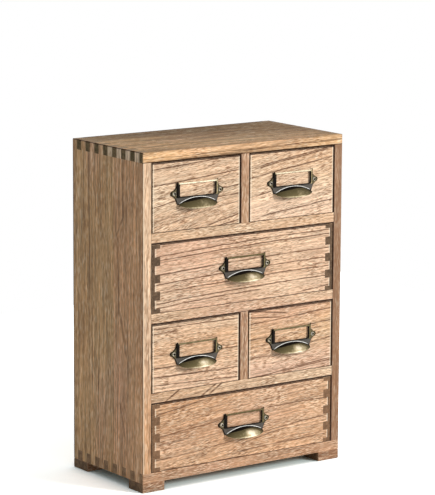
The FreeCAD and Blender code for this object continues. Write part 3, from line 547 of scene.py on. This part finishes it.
def rounded_bar(low, high, edge):
    """The section of a flat bar with rounded upper edges: share across, shift, height and brightness,
    rubbed up on the rounded edges and down to painted shade at the foot of its sides.
    """
    turn = np.radians(np.linspace(0, 90, 5))
    first = np.stack([turn * 0, edge * (1 - np.cos(turn)), high - edge * (1 - np.sin(turn)),
                      np.sin(turn * 2)], axis=1)
    middle = np.array([[share, 0, high, 0] for share in (0.2, 0.5, 0.8)])
    last = np.stack([turn * 0 + 1, -first[:, 1], first[:, 2], first[:, 3]], axis=1)[::-1]
    foot = np.array([[0, 0, low, -0.6], [0, 0, high - edge * 1.1, -0.6]])
    return np.concatenate([foot, first, middle, last, foot[::-1] + [1, 0, 0, 0]])


def band(inner, outer, section):
    """A bar between two lines, as a grid of stations by points of its section.

    Each point lies a share of the way from the inner to the outer line, shifted along that way,
    at a height over the drawer's front. The fourth number is how bright it is, from rubbing and
    from painted highlight, and below zero where it is black with painted shade and some dirt, and the
    fifth how yellow the brass is under its brown skin.
    """
    way = outer - inner
    unit = way / np.linalg.norm(way, axis=1, keepdims=True)
    share, shift, height, rub_and_light = section.T
    flat = inner[:, None] + way[:, None] * share[None, :, None] + unit[:, None] * shift[None, :, None]
    return stacked(flat[..., 0], flat[..., 1], height, rub_and_light, 0.0)


def ring_faces(rows, columns, looped):
    """Blocks of faces of a grid whose columns close on themselves, as numbers of its points.

    The quad at a row and a column joins it to the next row and the next column. The rows of a looped
    grid close too, and another grid has a cap on its first row and on its last.
    """
    row = np.arange(rows if looped else rows - 1)[:, None]
    column = np.arange(columns)[None, :]
    after, beside = (row + 1) % rows, (column + 1) % columns
    corners = [row * columns + column, after * columns + column,
               after * columns + beside, row * columns + beside]
    quads = np.stack(corners, axis=2).reshape(-1, 4)
    caps = np.arange(rows * columns).reshape(rows, columns)[[0, -1]]
    return [quads] if looped else [quads, caps]


def plate_shell():
    """The plate: a bar from the card slot's edge to the outline with its ears, open at the top.

    An ear is a round end between two hollows. Below it the outline runs in to the plate's corner,
    and then along the arch, where the bead covers it. The ears are yellower, and the rim is darker.
    """
    neck_across, neck_up = EAR_NECK
    right = np.concatenate([
        [(SHOULDER, SLOT_HIGH[1]), (SHOULDER, 0.0103)],
        hollow((SHOULDER, 0.0085), (neck_across, neck_up), EAR_HOLLOW, 8),
        arc(EAR_MIDDLE, EAR_RADIUS, 60, -60, 9),
        hollow((neck_across, -neck_up), WAIST, EAR_HOLLOW, 8),
        run(WAIST, PLATE_CORNER, 3),
        [PLATE_CORNER],
        arc((0, -CUP_CROWN - ARCH_RADIUS), ARCH_RADIUS - BEAD_COVER, 90 - ARCH_HALF, 90, 20)[:-1]])
    outer = mirrored(right)
    inner = np.clip(outer, SLOT_LOW, SLOT_HIGH)
    section = rounded_bar(0, PLATE, EDGE)
    grid = band(inner, outer, section)
    ear = ramp(np.abs(grid[..., 0]), 0.0285, 0.0305) * ramp(grid[..., 1], -0.008, -0.004)
    rim = np.interp(section[:, 0], (0.8, 1), (0, 0.7))
    grid[..., 3] = grid[..., 3] * 0.3 - ear * 0.05 - rim
    grid[..., 4] = ear * 0.75 + 0.1
    return grid, ring_faces(*grid.shape[:2], False)


def frame_shell(top_highlight):
    """The raised card frame: a bar round the window, with a small horn at each upper corner.

    The upper bar carries a painted highlight as strong as its argument tells, the left one is black
    with painted shade, and the lower one has a line of painted shade along the window.
    """
    def ring(half):
        """A closed line through the corners of one half and of its mirror image, with runs between."""
        corners = [*half, *((points * [-1, 1])[::-1] for points in reversed(half))]
        stretches = []
        for corner, following, count in zip(corners, corners[1:] + corners[:1], (3, 9, 3, 9)):
            stretches += [corner, run(corner[-1], following[0], count)]
        return np.concatenate(stretches)

    aside = WINDOW_HALF - WINDOW_CORNER
    window = ring([arc((aside, WINDOW_LOW + WINDOW_CORNER), WINDOW_CORNER, -90, 0, 5),
                   arc((aside, WINDOW_HIGH - WINDOW_CORNER), WINDOW_CORNER, 0, 90, 5)])
    outside = ring([arc(FRAME_CORNER, FRAME_ROUND, -90, 0, 5), np.array(HORN)])
    section = rounded_bar(FRAME_BACK, FRAME_TOP, EDGE)
    grid = band(window, outside, section)

    # which bar a point lies on, then the painted shade and highlight across the right bar's face
    across, up = grid[..., 0], grid[..., 1]
    above = ramp(up, WINDOW_HIGH - 0.0004, WINDOW_HIGH + 0.0004) * ramp(np.abs(across), 0.0276, 0.0266)
    left = ramp(-across, WINDOW_HALF - 0.0006, WINDOW_HALF) * (1 - above)
    right = ramp(across, WINDOW_HALF - 0.0006, WINDOW_HALF) * (1 - above)
    lower = ramp(up, WINDOW_LOW + 0.0006, WINDOW_LOW) * (1 - left) * (1 - right)
    face = np.interp(section[:, 0], (0, 0.2, 0.5, 0.8, 1), (-1.2, -0.8, 0.25 + top_highlight * 0.4, 0.1, -0.9))
    edge = np.clip(grid[..., 3], -1, 1)
    grid[..., 3] = above * (top_highlight + edge * 0.2) + right * face - left - lower
    grid[..., 4] = above * 0.9 + right * 0.9 + left * 0.6 + lower * 0.1
    return grid, ring_faces(*grid.shape[:2], True)


def bead_shell():
    """The bead: a round rod along the arch where the cup leaves the plate, drawn to a point at its ends."""
    along = np.linspace(-1, 1, 41)[:, None]
    angle = np.radians(90 - along * ARCH_HALF)
    turn = np.linspace(0, 2 * np.pi, 12, endpoint=False)[None, :]
    thick = BEAD * np.sqrt(1 - np.abs(along) ** 14) + BEAD_POINT
    reach = ARCH_RADIUS + thick * np.cos(turn)
    up = reach * np.sin(angle) - CUP_CROWN - ARCH_RADIUS
    # painted highlight on the bead's upper side and painted shade under it
    rub_and_light = np.clip(0.15 + 0.85 * np.cos(turn - 0.7), -0.8, 0.8)
    grid = stacked(reach * np.cos(angle), up, PLATE + thick * np.sin(turn), rub_and_light, 0.1)
    return grid, ring_faces(*grid.shape[:2], False)


def cup_shell(wear_and_reflection):
    """The cup: a hollow ellipsoid between the drawer's front and a mouth that slopes down outwards.

    A ray from the middle of the line between the cup's corners turns sideways, and about that line
    from the plate to the mouth, and the point is where it meets the ellipsoid. The inner wall is
    the same for a smaller ellipsoid, and a half round lip joins the two at the mouth.
    """
    centre = CUP_CROWN + BOWL_HEIGHT
    width = CUP_HALF / math.sqrt(1 - ((centre - CUP_CORNER) / BOWL_HEIGHT) ** 2)
    depth = CUP_REACH / math.sqrt(1 - ((centre - CUP_LIP) / BOWL_HEIGHT) ** 2)
    mouth = np.pi / 2 + math.atan2(CUP_LIP - CUP_CORNER, CUP_REACH)
    sway = np.radians(np.linspace(-90, 90, CUP_COLUMNS))[None, :]
    tip = np.linspace(0, mouth, CUP_ROWS)[:, None]
    way = stacked(np.sin(sway), np.cos(sway) * np.cos(tip), np.cos(sway) * np.sin(tip))

    def wall(inset):
        """Where the rays meet an ellipsoid that is smaller than the cup's by an inset."""
        axes = np.array([width, BOWL_HEIGHT, depth]) - inset
        start = np.array([0, centre - CUP_CORNER, 0]) / axes
        way_scaled = way / axes
        a = (way_scaled ** 2).sum(2)
        b = (way_scaled * start).sum(2)
        c = (start ** 2).sum() - 1
        reach = (-b + np.sqrt(b * b - a * c)) / a
        return way * reach[..., None] - [0, CUP_CORNER, 0]

    outside, inside = wall(0), wall(CUP_WALL)[::-1]
    middle, half = (outside[-1] + inside[0]) / 2, (outside[-1] - inside[0]) / 2
    swell = np.radians(np.linspace(0, 180, LIP_ROWS + 2))[1:-1, None, None]
    onward = np.array([0, -math.cos(mouth - np.pi / 2), -math.sin(mouth - np.pi / 2)])
    size = np.linalg.norm(half, axis=1)[None, :, None]
    lip = middle + half * np.cos(swell) + onward * size * np.sin(swell)
    points = np.concatenate([outside, lip, inside])

    # the share of the way from the plate to the mouth, more on the lip and none inside, and the swing
    # from the left corner to the right one: a belly bright with wear and a painted reflection, painted
    # shade under the bead, at the right end and inside, and a painted highlight along the mouth
    share = np.concatenate([np.linspace(0, 1, CUP_ROWS), [1.5] * LIP_ROWS, [0] * CUP_ROWS])[:, None]
    swing = np.linspace(-1, 1, CUP_COLUMNS)[None, :]
    lit_and_worn = np.exp(-((swing - 0.25) / 0.45) ** 2 - ((share - 0.82) / 0.22) ** 2) * wear_and_reflection + 0.05
    # painted shade under the bead and at the right end
    crevice_shade = ramp(share + swing * 0.1, 0.56, 0.44) + ramp(swing, 0.7, 0.9) * 0.6
    # painted highlight along the mouth's lip
    lip_highlight = ramp(share, 0.95, 0.99) * ramp(np.abs(swing + 0.05), 0.7, 0.4)
    rub_and_light = np.where(share > 1.2, 0.6, lit_and_worn - crevice_shade * 1.1 + lip_highlight * 0.6)
    grid = stacked(points[..., 0], points[..., 1], points[..., 2], rub_and_light, 0.85).transpose(1, 0, 2)
    return grid, ring_faces(*grid.shape[:2], False)


def into_scene(name, data):
    """A new object of the scene."""
    made = bpy.data.objects.new(name, data)
    bpy.context.scene.collection.objects.link(made)
    return made


def build_piece(name, shells, across, near, up, material):
    """One mesh of several closed shells, which are drawn about a point on a drawer's front.

    Each shell is a grid and its blocks of faces. A row of the grid says how far to go aside, up and
    out from that point, out being against Y, and gives the two attributes that the brass reads.
    """
    places, faces, count = [], [], 0
    for grid, blocks in shells:
        places.append(grid.reshape(-1, 5))
        for block in blocks:
            faces += (block + count).tolist()
        count += len(places[-1])
    aside, rise, out, rub_and_light, yellow = np.concatenate(places).T
    mesh = bpy.data.meshes.new(name)
    mesh.from_pydata(np.stack([across + aside, near - out, up + rise], axis=1), [], faces)
    for mark, values in (("rub_and_light", rub_and_light), ("yellow", yellow)):
        mesh.attributes.new(mark, "FLOAT", "POINT").data.foreach_set("value", values)
    tool = bmesh.new()
    tool.from_mesh(mesh)
    bmesh.ops.remove_doubles(tool, verts=tool.verts, dist=1e-6)
    bmesh.ops.recalc_face_normals(tool, faces=tool.faces)
    tool.to_mesh(mesh)
    tool.free()
    mesh.polygons.foreach_set("use_smooth", [True] * len(mesh.polygons))
    mesh.materials.append(material)
    return into_scene(name, mesh)


def screw_shell(turned):
    """A domed screw head: rings round its middle, whose height falls along a slot, and a sunk foot."""
    curve = (SCREW_RADIUS ** 2 + SCREW_HEIGHT ** 2) / (2 * SCREW_HEIGHT)
    reach = SCREW_RADIUS * np.linspace(0.02, 1, 14)[:, None]
    angle = np.radians(np.linspace(0, 360, 48, endpoint=False))[None, :]
    dome = np.sqrt(curve ** 2 - reach ** 2) - (curve - SCREW_HEIGHT)
    slot = 1 - ramp(np.abs(reach * np.sin(angle - turned)), 0.00032, 0.00048)
    out = PLATE + np.maximum(dome - slot * SCREW_SLOT, SCREW_RIM)
    # a painted highlight in a ring round the head, and painted shade in its middle and its slot
    rub_and_light = ramp(reach / SCREW_RADIUS, 0.4, 0.6) * 1.5 - 0.8 - slot * 0.8
    grid = stacked(reach * np.cos(angle), reach * np.sin(angle), out, rub_and_light, 0.5)
    foot = grid[-1:] * [1, 1, 0, 0, 1] + [0, 0, PLATE - SCREW_SUNK, 0, 0]
    shell = np.concatenate([grid, foot])
    return shell, ring_faces(*shell.shape[:2], False)


brass, wire = new_finish("browned_brass")
place = wire.node("TexCoord", output="Object")
rub_and_light = wire.node("Attribute", {"attribute_name": "rub_and_light"}, output="Fac")
yellow = wire.node("Attribute", {"attribute_name": "yellow"}, output="Fac")
cloud = wire.noise(place, 300.0, 3.0, 0.6)
grit = wire.noise(place, 2200.0, 2.0, 0.6)
# the mark holds rubbing and painted light: painted highlights and reflections where high, painted shade and
# some dirt below zero
lit_and_worn = rub_and_light + (cloud - 0.5) * 0.7 + (grit - 0.5) * 0.25
brown = wire.blend(yellow, tone(76, 73, 71), tone(92, 82, 52))
bare = wire.blend(yellow, tone(140, 140, 138), tone(156, 140, 104))
# the brightest tone stands for a painted highlight and reflection
highlight_tone = wire.blend(yellow, tone(222, 222, 220), tone(214, 200, 172))
metal = wire.blend(lit_and_worn.rise(0.45, 0.95), wire.blend(lit_and_worn.rise(0.1, 0.55), brown, bare), highlight_tone)
# near black for painted shade and some dirt, where the mark falls below zero
dirt_and_shade = (0 - lit_and_worn).rise(0.02, 0.55)
dents = wire.node("Bump", None, {"Strength": 0.35, "Distance": 0.0003, "Height": cloud * 0.5 + grit * 0.3})
end_finish(wire, {"Base Color": wire.blend(dirt_and_shade, metal, tone(16, 10, 5)), "Metallic": 0.8 - dirt_and_shade * 0.5,
                  "Roughness": 0.56 - lit_and_worn.rise(0.3, 1.0) * 0.06 + cloud * 0.1,
                  "Specular IOR Level": 0.1, "Normal": dents})

# For each drawer, in the order of FRONTS: how bright its cup's belly is with wear and a painted reflection,
# and how strong the painted highlight on its frame's upper bar is.
CUP_WEAR_AND_REFLECTION = (0.25, 0.2, 0.75, 0.75, 0.8, 0.95)
FRAME_HIGHLIGHT = (0.85, 0.75, 0.0, 0.2, 0.2, 0.1)
turns = np.random.default_rng(7).uniform(0, np.pi, (len(FRONTS), 2))

for drawer, wear_and_reflection, top_highlight, (first, second) in zip(FRONTS, CUP_WEAR_AND_REFLECTION, FRAME_HIGHLIGHT, turns):
    low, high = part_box(f"{drawer}_screws")
    middle = (low + high) / 2
    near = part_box(f"{drawer}_front")[LOW][Y]
    shells = [plate_shell(), frame_shell(top_highlight), bead_shell(), cup_shell(wear_and_reflection)]
    pull = build_piece(f"{drawer}_cup_pull", shells, middle[X], near, middle[Z], brass)
    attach(pull, f"{drawer}_drawer")
    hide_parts(f"{drawer}_pull")
    heads = []
    for across, turned in ((-SCREW_SPREAD, first), (SCREW_SPREAD, second)):
        grid, faces = screw_shell(turned)
        heads.append((grid + [across, 0, 0, 0, 0], faces))
    screws = build_piece(f"{drawer}_screw_heads", heads, middle[X], near, middle[Z], brass)
    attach(screws, f"{drawer}_drawer")
    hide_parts(f"{drawer}_screws")


# The floor, the lamps and the view
# A pale floor under soft daylight from the right. It shows white where nothing shades it.

FLOOR_REACH = 0.9
FLOOR_GREY = (0.8, 0.8, 0.8, 1)
FLOOR_SHADE, FLOOR_WHITE = (0.9, 1.15, 1.2, 1), (2.7, 2.75, 2.8, 1)
SHADE_REACH = 0.045
SKY_TONE, SKY_STRENGTH = (0.96, 1.0, 0.99, 1), 0.42
LAMP_AIM = np.array([0.0, 0.0, 0.2])
LAMP_WAY = np.array([0.50, -0.82, 0.34])
LAMP_DISTANCE, LAMP_WIDTH, LAMP_STRENGTH = 2.4, 0.7, 0.68
CAMERA_LENS, CAMERA_SENSOR = 193.1, 36
CAMERA_PLACE = (-1.81875, -2.54176, 0.83471)


def what_is_seen(wire):
    """1 for the rays of the camera and those it sends on by mirroring or through glass, else 0."""
    kinds = ("Is Camera Ray", "Is Glossy Ray", "Is Transmission Ray")
    camera_ray, glossy_ray, glass_ray = (wire.node("LightPath", output=kind) for kind in kinds)
    return wire.maths("MINIMUM", camera_ray + glossy_ray + glass_ray, 1.0)


# The floor lights the case as a grey one would, and is seen as white, with a shade near what it bears.
floor_mesh = bpy.data.meshes.new("floor")
corners = [(-FLOOR_REACH, -FLOOR_REACH, 0), (FLOOR_REACH, -FLOOR_REACH, 0),
           (FLOOR_REACH, FLOOR_REACH, 0), (-FLOOR_REACH, FLOOR_REACH, 0)]
floor_mesh.from_pydata(corners, [], [(0, 1, 2, 3)])
floor = into_scene("floor", floor_mesh)
floor_paint, wire = new_finish("floor_paint")
plain = wire.node("BsdfDiffuse", None, {"Color": FLOOR_GREY})
open_floor = wire.node("AmbientOcclusion", {"samples": 8}, {"Distance": SHADE_REACH}, "AO")
shade = wire.blend(open_floor.rise(0.15, 0.85), FLOOR_SHADE, FLOOR_WHITE)
white = wire.node("BsdfDiffuse", None, {"Color": shade})
shown = wire.node("MixShader", None, {0: what_is_seen(wire), 1: plain, 2: white})
wire.node("OutputMaterial", None, {"Surface": shown})
floor_mesh.materials.append(floor_paint)

# The sky lights the case faintly, and is seen as white.
world = bpy.data.worlds.new("daylight")
bpy.context.scene.world = world
wire = bare_nodes(world)
sky = wire.node("Background", None, {"Color": SKY_TONE, "Strength": SKY_STRENGTH})
white = wire.node("Background", None, {"Color": (1, 1, 1, 1), "Strength": 1.0})
shown = wire.node("MixShader", None, {0: what_is_seen(wire), 1: sky, 2: white})
wire.node("OutputWorld", None, {"Surface": shown})

lamp_data = bpy.data.lights.new("window_light", "AREA")
lamp_data.shape = "DISK"
lamp_data.size = LAMP_WIDTH
lamp_data.energy = LAMP_STRENGTH * math.pi ** 2 * LAMP_DISTANCE ** 2
lamp_data.color = (1.0, 0.975, 0.94)
lamp = into_scene("window_light", lamp_data)
way = LAMP_WAY / np.linalg.norm(LAMP_WAY)
lamp.location = Vector(LAMP_AIM + way * LAMP_DISTANCE)
lamp.rotation_mode = "QUATERNION"
lamp.rotation_quaternion = Vector(-way).to_track_quat("-Z", "Y")

camera_data = bpy.data.cameras.new("camera")
camera_data.lens = CAMERA_LENS
camera_data.sensor_width = CAMERA_SENSOR
camera = into_scene("camera", camera_data)
right = Vector((0.8124068, -0.5830669, 0.0053088))
up = Vector((0.1000831, 0.1484072, 0.9838489))
forward = Vector((0.5744376, 0.7987542, -0.1789222))
facing = Matrix((right, up, -forward)).transposed().to_4x4()
camera.matrix_world = Matrix.Translation(CAMERA_PLACE) @ facing
bpy.context.scene.camera = camera
bpy.context.scene.view_settings.view_transform = "Standard"
